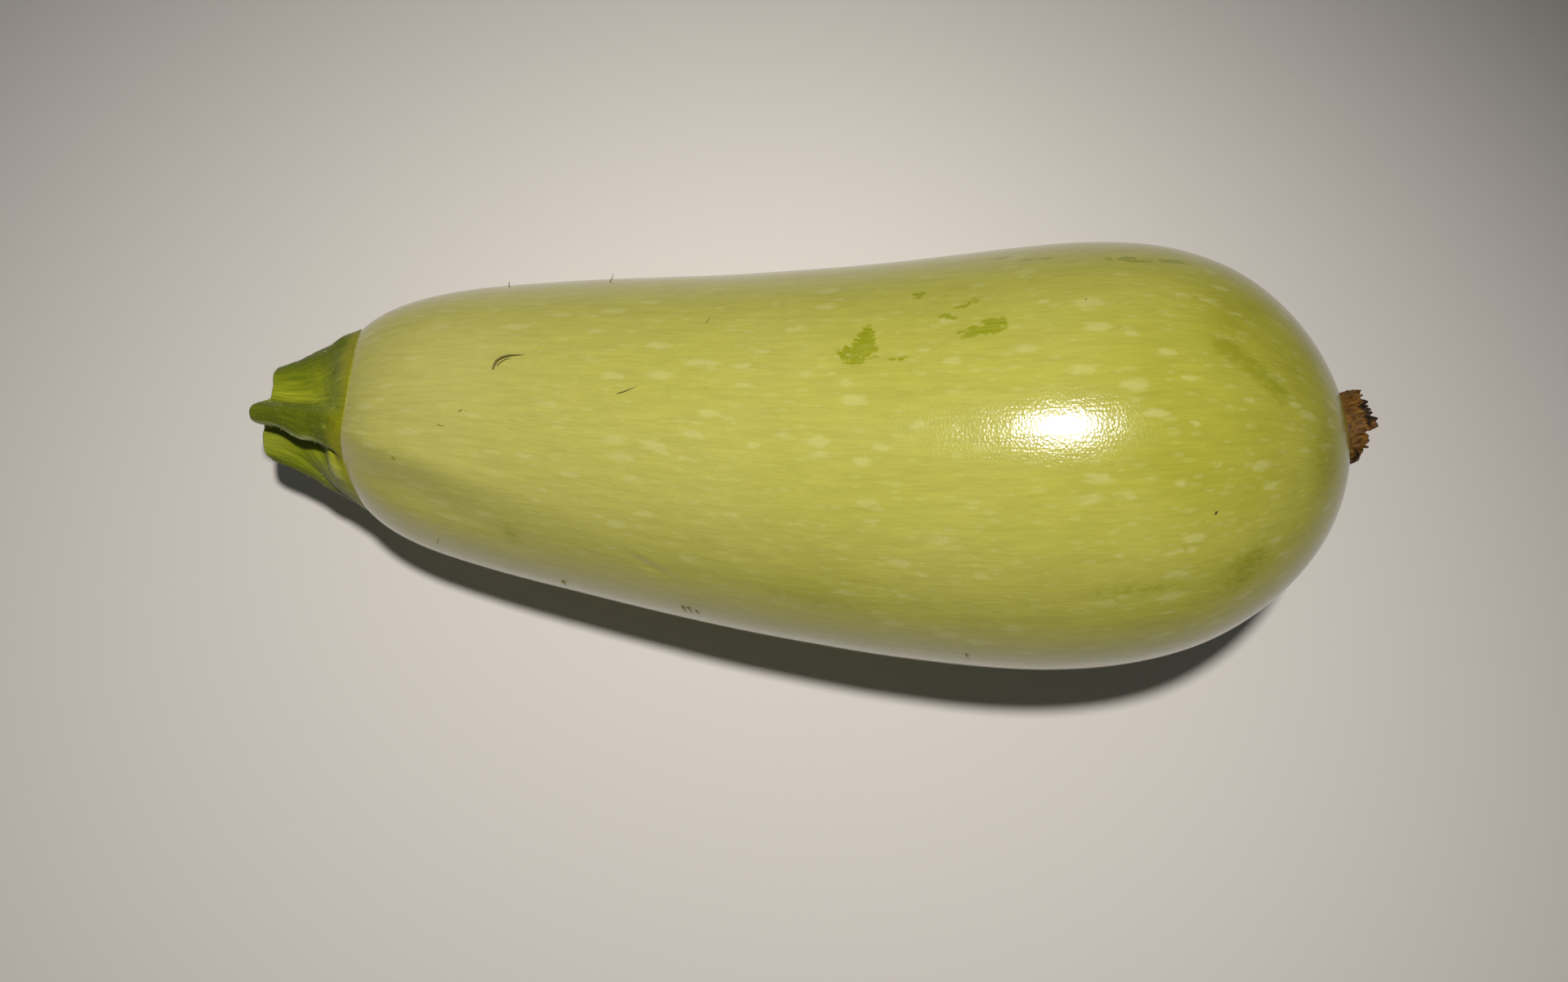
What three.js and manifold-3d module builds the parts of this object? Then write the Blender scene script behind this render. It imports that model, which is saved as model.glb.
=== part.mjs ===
// A pale green courgette, as picked: the fruit, the ridged stem that it was cut with, and the
// dried remains of its flower. Millimetres, +Z up. It lies on its side with the stem towards -X.
// The origin is under the middle of its box, on the surface that it rests on.
import * as THREE from "three";
import { mergeVertices } from "three/addons/utils/BufferGeometryUtils.js";
import Module from "manifold-3d";

const wasm = await Module();
wasm.setup();

// ---- Driving dimensions ----
const FRUIT_LENGTH = 186.3; // along the axis, from the stem's pole to the flower's pole
const GIRTH = [103, 36, 91, 34, 117, 104.5]; // fullness of the outline, stem to flower
const SWAY = [7.7, 6.8, 1.2, -7.4, 4.4, 0.5]; // the axis's bow towards +Y, stem to flower
const FLATNESS = 0.985; // height of a section against its width
const RIB_AT_STEM = 1.0; // how far a rib stands out where it leaves the stem
const RIB_ON_BODY = 0.15; // and along the rest of the fruit
const RIB_TURN = -50; // degrees that a rib would turn round the axis over the whole length
const LYING_TILT = 6.5; // degrees that the neck droops, until the straight side lies on the surface
const BELLY_DEPTH = 0.45; // how deep the resting side is pressed flat
const SEAM = 0.3; // gap between two pieces that touch

const STEM_RADIUS = 9.2; // over the ridges, at the cut
const STEM_FLARE = 17.2; // over the ridges, where they spread on the fruit's shoulder
const STEM_LENGTH = 11.6; // from the fruit's pole to the middle of the cut
const STEM_ROOT = 8.6; // how far the stem's blank reaches into the fruit before it is trimmed
const STEM_TWIST = -15; // degrees that the ridges turn, from the cut to the shoulder
const STEM_LEAN = 1.0; // how far the cut lies towards +Y of the fruit's pole

const FLOWER_RADIUS = 6.3; // of the dried ring
const FLOWER_HEIGHT = 3.5; // of the ring's wall, on average
const FLOWER_WALL = 1.1; // its thickness
const FLOWER_ROOT = 2.5; // how far its blank reaches into the fruit before it is trimmed
const FLOWER_OFFSET = 4.3; // from the fruit's axis, towards +Y
const FLOWER_LEAN = 7; // degrees, so that it stands square to the skin there

const FRUIT_FACETS = { along: 40, around: 48 };
const STEM_FACETS = { along: 14, around: 60 };
const FLOWER_FACETS = { around: 54 };

// The stem's ridges, going round from +Y by way of the top. Angles run from +Z towards +Y, `half`
// is half of the crest's width in degrees, `out` is the crest's share of the full radius, `furrow`
// is the share left at the bottom of the furrow that follows, and `past` is how far the crest
// stands past the middle of the cut. Each ridge is carried on as a rib of the fruit.
const RIDGES = [
  { angle: 74, half: 8, out: 1.0, furrow: 0.86, past: 0.0 },
  { angle: 1, half: 12, out: 1.02, furrow: 0.55, past: 2.3 },
  { angle: -72, half: 9, out: 1.0, furrow: 0.72, past: 1.2 },
  { angle: -143, half: 9, out: 0.94, furrow: 0.74, past: -0.6 },
  { angle: -214, half: 9, out: 0.95, furrow: 0.76, past: -0.9 },
];

const { degToRad, lerp, smoothstep } = THREE.MathUtils;

// ---- Shared shaping ----

// The Bezier curve of these weights, at the share u of its length.
function bezier(weights, u) {
  let row = weights;
  while (row.length > 1) row = row.slice(1).map((next, i) => lerp(row[i], next, u));
  return row[0];
}

// A closed solid turned about +X from [x, radius] points, each moved by `place`, which gets the
// point's x, its radius and its angle, and gives back [x, y, z].
function turned(outline, around, place) {
  const points = outline.map(([x, radius]) => new THREE.Vector2(radius, x));
  const geometry = new THREE.LatheGeometry(points, around).rotateZ(-Math.PI / 2);
  geometry.deleteAttribute("normal");
  geometry.deleteAttribute("uv");
  const closed = mergeVertices(geometry, 1e-3);
  const position = closed.getAttribute("position");
  for (let i = 0; i < position.count; i++) {
    const [y, z] = [position.getY(i), position.getZ(i)];
    position.setXYZ(i, ...place(position.getX(i), Math.hypot(y, z), Math.atan2(y, z)));
  }
  return closed;
}

function toSolid(geometry) {
  const index = geometry.index.array;
  const kept = [];
  for (let i = 0; i < index.length; i += 3) {
    const [a, b, c] = index.slice(i, i + 3);
    if (a !== b && b !== c && c !== a) kept.push(a, b, c);
  }
  return new wasm.Manifold(
    new wasm.Mesh({
      numProp: 3,
      vertProperties: geometry.getAttribute("position").array,
      triVerts: new Uint32Array(kept),
    }),
  );
}

function toGeometry(solid) {
  const { vertProperties, triVerts } = solid.getMesh();
  const geometry = new THREE.BufferGeometry();
  geometry.setAttribute("position", new THREE.BufferAttribute(vertProperties, 3));
  geometry.setIndex(new THREE.BufferAttribute(triVerts, 1));
  geometry.computeVertexNormals();
  return geometry;
}

// How much of a ridge there is at this angle: 1 on a crest, falling to 0 half way to the next.
function ribShare(angle) {
  const gaps = RIDGES.map((ridge) => Math.cos(angle - degToRad(ridge.angle + STEM_TWIST)));
  return Math.max(...gaps) ** 12;
}

// ---- The fruit ----

function fruitRadius(u) {
  return Math.sqrt(u * (1 - u)) * bezier(GIRTH, u);
}

// Ribs are strong where they leave the stem, and fade along the fruit.
function ribHeight(u) {
  return RIB_ON_BODY + RIB_AT_STEM * Math.exp(-u / 0.09);
}

function fruitPoint(x, radius, angle) {
  const u = THREE.MathUtils.clamp(x / FRUIT_LENGTH, 0, 1);
  const rib = ribHeight(u) * (ribShare(angle - u * degToRad(RIB_TURN)) - 0.4);
  const swell = radius + Math.min(1, radius / 15) * rib;
  return [x, bezier(SWAY, u) + swell * Math.sin(angle), FLATNESS * swell * Math.cos(angle)];
}

// The fruit's outline, grown by a margin square to the skin. Its points lie closer at the poles.
function fruitOutline(margin) {
  const outline = [];
  for (let i = 0; i <= FRUIT_FACETS.along; i++) {
    const u = (1 - Math.cos((Math.PI * i) / FRUIT_FACETS.along)) / 2;
    const step = 1e-5;
    const [before, after] = [Math.max(0, u - step), Math.min(1, u + step)];
    const skin = new THREE.Vector2(
      (after - before) * FRUIT_LENGTH,
      fruitRadius(after) - fruitRadius(before),
    ).normalize();
    outline.push([u * FRUIT_LENGTH - margin * skin.y, fruitRadius(u) + margin * skin.x]);
  }
  outline[0][1] = 0;
  outline.at(-1)[1] = 0;
  return outline;
}

function fruitSolid(margin = 0) {
  return toSolid(turned(fruitOutline(margin), FRUIT_FACETS.around, fruitPoint));
}

// The block below the surface, in the fruit's own frame, for pressing its belly flat.
function surfaceBlock(height) {
  const block = new THREE.BoxGeometry(2 * FRUIT_LENGTH, FRUIT_LENGTH, FRUIT_LENGTH);
  block.deleteAttribute("normal");
  block.deleteAttribute("uv");
  block.translate(0, 0, height - FRUIT_LENGTH / 2);
  block.rotateY(degToRad(LYING_TILT));
  return toSolid(mergeVertices(block));
}

// How high the lying fruit's lowest point is above the stem's pole (a negative number).
function lowestPoint(geometry) {
  const lying = geometry.clone().rotateY(-degToRad(LYING_TILT));
  lying.computeBoundingBox();
  return lying.boundingBox.min.z;
}

// ---- The stem ----

// The section of the stem, five rounded ridges round deep furrows, on a radius of 1.
const stemSection = new THREE.CatmullRomCurve3(
  RIDGES.flatMap(({ angle, half, out, furrow }, i) => {
    const next = i + 1 < RIDGES.length ? RIDGES[i + 1].angle : RIDGES[0].angle - 360;
    return [
      [angle + half, out],
      [angle - half, out],
      [(angle + next) / 2, furrow],
    ];
  }).map(([angle, out]) => {
    const turn = degToRad(angle);
    return new THREE.Vector3(0, out * Math.sin(turn), out * Math.cos(turn));
  }),
  true,
);

// How far the cut stands past its middle at this angle.
function cutStep(angle) {
  const shares = RIDGES.map((ridge) => {
    return ridge.past * Math.max(0, Math.cos(angle - degToRad(ridge.angle))) ** 10;
  });
  return shares.reduce((sum, share) => sum + share);
}

// The stem's outline over its ridges, from the root inside the fruit to the cut.
function stemOutline() {
  const outline = [
    [STEM_ROOT, 0],
    [STEM_ROOT, STEM_FLARE * 0.97],
  ];
  const flare = new THREE.SplineCurve([
    new THREE.Vector2(STEM_ROOT - 1, STEM_FLARE),
    new THREE.Vector2(STEM_ROOT * 0.6, STEM_FLARE - 1.1),
    new THREE.Vector2(0, lerp(STEM_RADIUS, STEM_FLARE, 0.58)),
    new THREE.Vector2(-STEM_LENGTH / 2, lerp(STEM_RADIUS, STEM_FLARE, 0.22)),
    new THREE.Vector2(1 - STEM_LENGTH, STEM_RADIUS),
  ]);
  flare.getPoints(STEM_FACETS.along).forEach(({ x, y }) => outline.push([x, y]));
  outline.push([0.3 - STEM_LENGTH, STEM_RADIUS - 0.3]);
  outline.push([-STEM_LENGTH, STEM_RADIUS - 1]);
  outline.push([0.5 - STEM_LENGTH, STEM_RADIUS * 0.45]);
  outline.push([0.3 - STEM_LENGTH, 0]);
  return outline;
}

function stemPoint(x, radius, angle) {
  const towardsCut = smoothstep(-x, -STEM_ROOT, STEM_LENGTH);
  const section = stemSection.getPoint((0.25 - angle / (2 * Math.PI) + 1) % 1);
  const turn = Math.atan2(section.y, section.z);
  const reach = radius * lerp(1, Math.hypot(section.y, section.z), lerp(0.3, 1, towardsCut));
  const past = cutStep(turn) * towardsCut ** 3 * Math.min(1, radius / STEM_RADIUS) ** 2;
  const swung = turn + degToRad(STEM_TWIST) * (1 - towardsCut);
  const y = reach * Math.sin(swung) + SWAY[0] + STEM_LEAN * towardsCut;
  return [x - past, y, reach * Math.cos(swung)];
}

function stemSolid(fruit) {
  return toSolid(turned(stemOutline().reverse(), STEM_FACETS.around, stemPoint)).subtract(fruit);
}

// ---- The dried flower ----

// How high the torn rim stands at this angle, against its average height.
function tornRim(angle) {
  const tears = 0.34 * Math.sin(3 * angle + 0.6) + 0.22 * Math.sin(7 * angle + 2.1);
  return 1 + tears + 0.16 * Math.sin(13 * angle);
}

function flowerPoint(x, radius, angle) {
  const shrivel = 1 + 0.05 * Math.sin(5 * angle) + 0.03 * Math.sin(11 * angle + 1);
  const height = x > 1 ? 1 + (x - 1) * tornRim(angle) : x;
  const reach = radius * shrivel;
  return [height, reach * Math.sin(angle), reach * Math.cos(angle)];
}

// A shallow cup: the ring of the dried petals round the stub of the style.
function flowerOutline() {
  const inside = FLOWER_RADIUS - FLOWER_WALL;
  return [
    [-FLOWER_ROOT, 0],
    [-FLOWER_ROOT, FLOWER_RADIUS],
    [0, FLOWER_RADIUS],
    [FLOWER_HEIGHT * 0.3, FLOWER_RADIUS - 0.5],
    [FLOWER_HEIGHT * 0.65, FLOWER_RADIUS - 0.3],
    [FLOWER_HEIGHT, FLOWER_RADIUS],
    [FLOWER_HEIGHT, inside + 0.3],
    [FLOWER_HEIGHT * 0.6, inside - 0.1],
    [1, inside - 0.4],
    [0.7, FLOWER_RADIUS * 0.4],
    [2.2, 1.3],
    [2.6, 0.6],
    [2.6, 0],
  ];
}

function flowerSolid(fruit, place) {
  const blank = turned(flowerOutline(), FLOWER_FACETS.around, flowerPoint).applyMatrix4(place);
  return toSolid(blank).subtract(fruit);
}

// ---- The courgette, laid down ----

function piece(name, solid, color, roughness) {
  const material = new THREE.MeshStandardMaterial({ color, roughness, metalness: 0 });
  const mesh = new THREE.Mesh(toGeometry(solid), material);
  mesh.name = name;
  return mesh;
}

const grownFruit = fruitSolid(SEAM);
const wholeFruit = fruitSolid();
const restingHeight = lowestPoint(toGeometry(wholeFruit)) + BELLY_DEPTH;
const flowerPlace = new THREE.Object3D();
flowerPlace.position.set(FRUIT_LENGTH - 0.2, SWAY.at(-1) + FLOWER_OFFSET, 0);
flowerPlace.rotation.z = degToRad(FLOWER_LEAN);
flowerPlace.updateMatrix();

const lying = new THREE.Group();
lying.add(piece("fruit", wholeFruit.subtract(surfaceBlock(restingHeight)), 0xb6b45a, 0.35));
lying.add(piece("stem", stemSolid(grownFruit), 0x66701a, 0.5));
lying.add(piece("dried_flower", flowerSolid(grownFruit, flowerPlace.matrix), 0x6b4420, 0.85));
lying.rotation.y = -degToRad(LYING_TILT);
lying.position.z = -restingHeight;

const courgette = new THREE.Group();
courgette.add(lying);
const middle = new THREE.Box3().setFromObject(courgette, true).getCenter(new THREE.Vector3());
lying.position.x = -middle.x;
lying.position.y = -middle.y;

export default courgette;
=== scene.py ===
# A pale green courgette on a plain table: the fruit with its waxy, flecked skin, the ridged stem
# stub with its short hairs, and the torn brown ring that the flower left. Metres throughout.
import math
import random

import bpy
import numpy as np
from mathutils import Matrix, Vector, noise
from mathutils.bvhtree import BVHTree


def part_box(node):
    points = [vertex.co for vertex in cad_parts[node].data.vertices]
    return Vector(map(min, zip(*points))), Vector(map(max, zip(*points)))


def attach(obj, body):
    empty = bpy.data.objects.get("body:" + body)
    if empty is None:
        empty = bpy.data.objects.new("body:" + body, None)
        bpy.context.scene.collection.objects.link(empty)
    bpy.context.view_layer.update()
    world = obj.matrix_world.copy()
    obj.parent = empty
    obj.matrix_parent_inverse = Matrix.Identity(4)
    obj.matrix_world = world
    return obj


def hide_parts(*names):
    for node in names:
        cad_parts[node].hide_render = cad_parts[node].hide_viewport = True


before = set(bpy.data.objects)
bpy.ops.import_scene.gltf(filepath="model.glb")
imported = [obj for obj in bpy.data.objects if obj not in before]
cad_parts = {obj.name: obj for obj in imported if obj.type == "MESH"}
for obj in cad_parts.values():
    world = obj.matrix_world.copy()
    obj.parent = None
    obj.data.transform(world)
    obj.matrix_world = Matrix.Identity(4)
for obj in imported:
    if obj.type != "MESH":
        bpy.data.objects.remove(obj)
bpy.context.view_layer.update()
mm = 0.001


def stand(name, data):
    """An object with this data, put in the scene."""
    piece = bpy.data.objects.new(name, data)
    bpy.context.scene.collection.objects.link(piece)
    return piece


# ---- The table, the lamp and the camera ----
# A plain pale table top. One small studio lamp hangs above the thick end, a little behind the
# courgette, and the room adds a soft fill. The camera looks straight down from above the middle.

camera = bpy.data.cameras.new("camera")
camera.lens = 31.4
camera.sensor_width = 36
camera_stand = stand("camera", camera)
camera_stand.location = (-2.8 * mm, -6.2 * mm, 288 * mm)
bpy.context.scene.camera = camera_stand

lamp = bpy.data.lights.new("lamp", "SPOT")
lamp.energy = 7.0
lamp.color = (1.0, 0.955, 0.9)
lamp.shadow_soft_size = 13 * mm
lamp.spot_size = math.radians(85)
lamp.spot_blend = 1.0
lamp_stand = stand("lamp", lamp)
lamp_stand.location = (15 * mm, 88 * mm, 441 * mm)
lamp_aim = Vector((-30 * mm, -130 * mm, 0))
lamp_stand.rotation_euler = (lamp_aim - lamp_stand.location).to_track_quat("-Z", "Y").to_euler()

room = bpy.data.worlds.new("room")
room.use_nodes = True
room.node_tree.nodes["Background"].inputs["Color"].default_value = (0.93, 0.96, 1.0, 1)
room.node_tree.nodes["Background"].inputs["Strength"].default_value = 0.06
bpy.context.scene.world = room
bpy.context.scene.view_settings.view_transform = "Standard"

table_half = 1.5
table_mesh = bpy.data.meshes.new("table")
table_mesh.from_pydata(
    [(-table_half, -table_half, 0), (table_half, -table_half, 0),
     (table_half, table_half, 0), (-table_half, table_half, 0)],
    [],
    [(0, 1, 2, 3)],
)
table = stand("table", table_mesh)


def put(tree, kind, sockets=None, **settings):
    """Adds a node with these settings. Sockets go by name or number, with a value or a link."""
    node = tree.nodes.new(kind)
    for name, value in settings.items():
        setattr(node, name, value)
    for key, value in (sockets or {}).items():
        if isinstance(value, bpy.types.NodeSocket):
            tree.links.new(value, node.inputs[key])
        else:
            node.inputs[key].default_value = value
    return node


def new_material(name, colour, **surface):
    """A material with a plain surface of this colour, and its node tree and shader to build on."""
    material = bpy.data.materials.new(name)
    material.use_nodes = True
    shader = material.node_tree.nodes["Principled BSDF"]
    shader.inputs["Base Color"].default_value = (*colour, 1)
    for socket, value in surface.items():
        shader.inputs[socket.replace("_", " ")].default_value = value
    return material, material.node_tree, shader


table_paint, _, _ = new_material("pale table", (0.75, 0.72, 0.69), Roughness=0.55)
table_mesh.materials.append(table_paint)

# ---- The fruit ----
# The courgette's own body, grown in one piece. Its outline is a smooth curve of fullness along
# the axis, which is bowed; five ribs run on from the stem's ridges, and fade. It lies with the
# neck drooping, and its own weight presses the underside a little flat.

fruit_low, fruit_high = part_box("fruit")
drooping = 1.0046  # the axis droops, so it is this much longer than its box
length = (fruit_high.x - fruit_low.x) * drooping
fullness = (0.553, 0.193, 0.488, 0.183, 0.628, 0.561)
bow = (0.0413, 0.0365, 0.0064, -0.0397, 0.0236, 0.0027)
rib_angles = [math.radians(turn) for turn in (59, -14, -87, -158, -229)]
rib_sharpness, rib_fade, rib_start = 14.0, 0.09, 15 * mm
droop = math.radians(6.5)
flatness = 0.985
rings, staves = 380, 256

pale_skin = (0.54, 0.515, 0.145)
green_skin = (0.42, 0.415, 0.045)
end_skin = (0.27, 0.262, 0.008)
fleck_colour = (0.64, 0.63, 0.27)
stain_colour = (0.255, 0.285, 0.001)
bruise_colour = (0.26, 0.27, 0.012)
pinhole_colour = (0.085, 0.075, 0.02)

# The relief of the skin: slow unevenness, the cells of the peel, the streaks and the pinholes.
peel_size, peel_depth = 6.5 * mm, 0.16 * mm
cell_size, cell_depth = 0.42 * mm, 0.027 * mm
streak_depth = 0.010 * mm
pinhole_depth = 0.08 * mm


def calc(tree, operation, *values):
    """A chain of sums: operation on the first two values, then on that and the third, and so on."""
    total = values[0]
    for value in values[1:] or [None]:
        sockets = {0: total} if value is None else {0: total, 1: value}
        total = put(tree, "ShaderNodeMath", sockets, operation=operation).outputs[0]
    return total


def opaque(colour):
    """A colour as a socket takes it. One that comes from a node stays as it is."""
    return (*colour, 1) if isinstance(colour, tuple) else colour


def between(tree, share, first, second):
    """A colour that goes from the first to the second as share goes from 0 to 1."""
    sockets = {0: share, 6: opaque(first), 7: opaque(second)}
    return put(tree, "ShaderNodeMix", sockets, data_type="RGBA").outputs[2]


def ramp(tree, value, low, high, floor=0.0, top=1.0):
    """Floor where the value is low, top where it is high, and a smooth step in between."""
    sockets = {0: value, 1: low, 2: high, 3: floor, 4: top}
    return put(tree, "ShaderNodeMapRange", sockets, interpolation_type="SMOOTHSTEP").outputs[0]


def scaled(tree, value, factor, more=0.0):
    """The value times a factor, with more added to it."""
    sockets = {0: value, 1: factor, 2: more}
    return put(tree, "ShaderNodeMath", sockets, operation="MULTIPLY_ADD").outputs[0]


def cloud(tree, place, scale, detail=2.0):
    """Soft random values at a place: a higher scale makes them smaller."""
    sockets = {"Vector": place, "Scale": scale, "Detail": detail}
    return put(tree, "ShaderNodeTexNoise", sockets).outputs[0]


def brightened(tree, colour, value):
    """The colour times a brightness."""
    sockets = {"Color": opaque(colour), "Value": value}
    return put(tree, "ShaderNodeHueSaturation", sockets).outputs[0]


def new_group(name, sizes, results):
    """A shader node group with these named inputs and outputs."""
    tree = bpy.data.node_groups.new(name, "ShaderNodeTree")
    for label, (kind, value) in sizes.items():
        socket = tree.interface.new_socket(label, in_out="INPUT", socket_type="NodeSocket" + kind)
        socket.default_value = value
    for label in results:
        tree.interface.new_socket(label, in_out="OUTPUT", socket_type="NodeSocketFloat")
    given, result = tree.nodes.new("NodeGroupInput"), tree.nodes.new("NodeGroupOutput")
    return tree, given.outputs, result.inputs


def drawn_out(tree, place, across, stretch):
    """The place divided by a size across, and by a longer one along the first axis."""
    along = calc(tree, "MULTIPLY", across, stretch)
    sizes = put(tree, "ShaderNodeCombineXYZ", {0: along, 1: across, 2: across})
    sockets = {0: place, 1: sizes.outputs[0]}
    return put(tree, "ShaderNodeVectorMath", sockets, operation="DIVIDE").outputs[0]


def grain_group():
    """Plant fibre: streaks drawn out along the first axis."""
    sizes = {"Place": ("Vector", (0, 0, 0)), "Across": ("Float", mm), "Stretch": ("Float", 12.0)}
    tree, size, result = new_group("lengthwise grain", sizes, ["Grain"])
    place = drawn_out(tree, size["Place"], size["Across"], size["Stretch"])
    streaks = put(tree, "ShaderNodeTexNoise", {"Vector": place, "Scale": 1.0, "Detail": 3.0})
    tree.links.new(ramp(tree, streaks.outputs[0], 0.28, 0.72), result["Grain"])
    return tree


def fleck_group():
    """Scattered ragged spots, drawn out along the first axis."""
    sizes = {
        "Place": ("Vector", (0, 0, 0)), "Across": ("Float", 4 * mm), "Stretch": ("Float", 3.0),
        "Share": ("Float", 0.5), "Size": ("Float", 0.3), "Raggedness": ("Float", 0.3),
        "Softness": ("Float", 0.4),
    }
    tree, size, result = new_group("flecks", sizes, ["Mask"])
    place = drawn_out(tree, size["Place"], size["Across"], size["Stretch"])
    torn = put(tree, "ShaderNodeTexNoise", {"Vector": place, "Scale": 3.0, "Detail": 3.0})
    pull = put(tree, "ShaderNodeVectorMath", {0: torn.outputs["Color"], 1: (0.5, 0.5, 0.5)},
               operation="SUBTRACT")
    pulled = put(tree, "ShaderNodeVectorMath",
                 {0: pull.outputs[0], 1: size["Raggedness"], 2: place}, operation="MULTIPLY_ADD")
    spots = put(tree, "ShaderNodeTexVoronoi", {"Vector": pulled.outputs[0], "Scale": 1.0})
    lot = put(tree, "ShaderNodeSeparateColor", {0: spots.outputs["Color"]})
    there = calc(tree, "LESS_THAN", lot.outputs[0], size["Share"])
    radius = calc(tree, "MULTIPLY", size["Size"], calc(tree, "ADD", lot.outputs[1], 0.5))
    core = calc(tree, "MULTIPLY", radius, calc(tree, "SUBTRACT", 1.0, size["Softness"]))
    spot = ramp(tree, spots.outputs["Distance"], core, radius, 1.0, 0.0)
    tree.links.new(calc(tree, "MULTIPLY", spot, there), result["Mask"])
    return tree


grain, flecks = grain_group(), fleck_group()


def group(tree, pattern, **values):
    """One of the shared patterns, placed in a material's tree. Gives its output."""
    sockets = {name.capitalize(): value for name, value in values.items()}
    return put(tree, "ShaderNodeGroup", sockets, node_tree=pattern).outputs[0]


def own(tree, name, output="Fac"):
    """The value that a piece's mesh carries under this name."""
    return put(tree, "ShaderNodeAttribute", attribute_name=name).outputs[output]


def bumped(tree, height, depth, below=None):
    """A surface that rises by the depth where the height is 1, on top of the one below."""
    sockets = {"Height": height, "Distance": depth}
    if below is not None:
        sockets["Normal"] = below
    return put(tree, "ShaderNodeBump", sockets).outputs[0]


def skin_material():
    """Waxy green-yellow skin: pale flecks, fine lengthwise streaks, rubbed stains, pinholes."""
    material, tree, shader = new_material(
        "skin", pale_skin, Roughness=0.22, IOR=1.45, Subsurface_Weight=0.12,
        Subsurface_Radius=(3.0, 2.6, 0.7), Subsurface_Scale=mm, Coat_Weight=0.5,
        Coat_Roughness=0.135, Coat_IOR=1.4,
    )
    place = own(tree, "lengthwise", "Vector")
    slow = cloud(tree, place, 28.0)
    fine = group(tree, grain, place=place, across=0.34 * mm, stretch=11.0)
    broad = group(tree, grain, place=place, across=1.1 * mm, stretch=8.0)
    large = group(tree, flecks, place=place, across=2.7 * mm, stretch=2.9, share=0.85, size=0.3,
                  raggedness=0.5, softness=0.6)
    small = group(tree, flecks, place=place, across=0.9 * mm, stretch=3.4, share=0.6, size=0.4,
                  raggedness=0.4, softness=0.7)
    pinholes = group(tree, flecks, place=place, across=9 * mm, stretch=1.0, share=0.3, size=0.03,
                     raggedness=0.1, softness=0.5)

    toward_end = calc(tree, "ADD", own(tree, "toward_flower_end"), scaled(tree, slow, 0.7, -0.35))
    # Paler on the neck, greener on the body, and darker towards the flower end.
    colour = between(tree, toward_end, pale_skin, green_skin)
    colour = between(tree, ramp(tree, toward_end, 0.7, 1.1, 0.0, 0.95), colour, end_skin)
    streaked = scaled(tree, calc(tree, "ADD", fine, broad), 0.08, 0.90)
    colour = brightened(tree, colour, streaked)
    pale = calc(tree, "MAXIMUM", scaled(tree, large, 0.34), scaled(tree, small, 0.18))
    colour = between(tree, pale, colour, fleck_colour)

    # One smear of fine random values tears the edges of the bruises and of the stains.
    smear = put(tree, "ShaderNodeTexNoise", {
        "Vector": drawn_out(tree, place, 0.9 * mm, 2.0), "Scale": 1.0, "Detail": 5.0,
        "Roughness": 0.65,
    }).outputs[0]
    blotches = calc(tree, "ADD", scaled(tree, smear, 2.4, -0.65), scaled(tree, broad, 0.5))
    bruised = calc(tree, "MULTIPLY", own(tree, "bruise"), blotches)
    colour = between(tree, ramp(tree, bruised, 0.1, 0.9, 0.0, 0.75), colour, bruise_colour)
    rubbed = calc(tree, "MULTIPLY", own(tree, "stain"), scaled(tree, smear, 3.4, -0.95))
    worn_in = scaled(tree, fine, 0.45, 0.55)
    worn_in = calc(tree, "MULTIPLY", ramp(tree, rubbed, 0.3, 0.55), worn_in)
    colour = between(tree, worn_in, colour, stain_colour)
    colour = between(tree, pinholes, colour, pinhole_colour)
    tree.links.new(colour, shader.inputs["Base Color"])

    cells = put(tree, "ShaderNodeTexVoronoi", {"Vector": place, "Scale": 1 / cell_size})
    surface = bumped(tree, cloud(tree, place, 1 / peel_size, 1.0), peel_depth)
    surface = bumped(tree, cells.outputs["Distance"], cell_depth, surface)
    surface = bumped(tree, fine, streak_depth, surface)
    surface = bumped(tree, pinholes, -pinhole_depth, surface)
    tree.links.new(surface, shader.inputs["Normal"])
    tree.links.new(scaled(tree, slow, 0.12, 0.12), shader.inputs["Roughness"])
    return material


skin = skin_material()


def bezier_nodes(tree, weights, share):
    """The Bezier curve of these weights, at a share of its length."""
    row = weights
    while len(row) > 1:
        row = [
            put(tree, "ShaderNodeMix", {0: share, 2: first, 3: second}).outputs[0]
            for first, second in zip(row, row[1:])
        ]
    return row[0]


def new_tree(name, sizes):
    """A Geometry Nodes tree with these named inputs, each given as its kind and its value."""
    tree = bpy.data.node_groups.new(name, "GeometryNodeTree")
    tree.interface.new_socket("Geometry", in_out="INPUT", socket_type="NodeSocketGeometry")
    for label, (kind, value) in sizes.items():
        socket = tree.interface.new_socket(label, in_out="INPUT", socket_type="NodeSocket" + kind)
        if kind != "Material":
            socket.default_value = value
    tree.interface.new_socket("Geometry", in_out="OUTPUT", socket_type="NodeSocketGeometry")
    given, result = tree.nodes.new("NodeGroupInput"), tree.nodes.new("NodeGroupOutput")
    return tree, given.outputs, result.inputs


def grow(name, start, tree, sizes):
    """The plain mesh that the tree makes from the start mesh with these sizes, as an object."""
    piece = stand(name, start)
    modifier = piece.modifiers.new("grow", "NODES")
    modifier.node_group = tree
    for item in tree.interface.items_tree:
        if item.in_out == "INPUT" and item.name in sizes:
            modifier[item.identifier] = sizes[item.name][1]
    view = bpy.context.evaluated_depsgraph_get()
    grown = bpy.data.meshes.new_from_object(piece.evaluated_get(view), depsgraph=view)
    piece.modifiers.remove(modifier)
    piece.data = grown
    grown.name = name
    return piece


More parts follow.
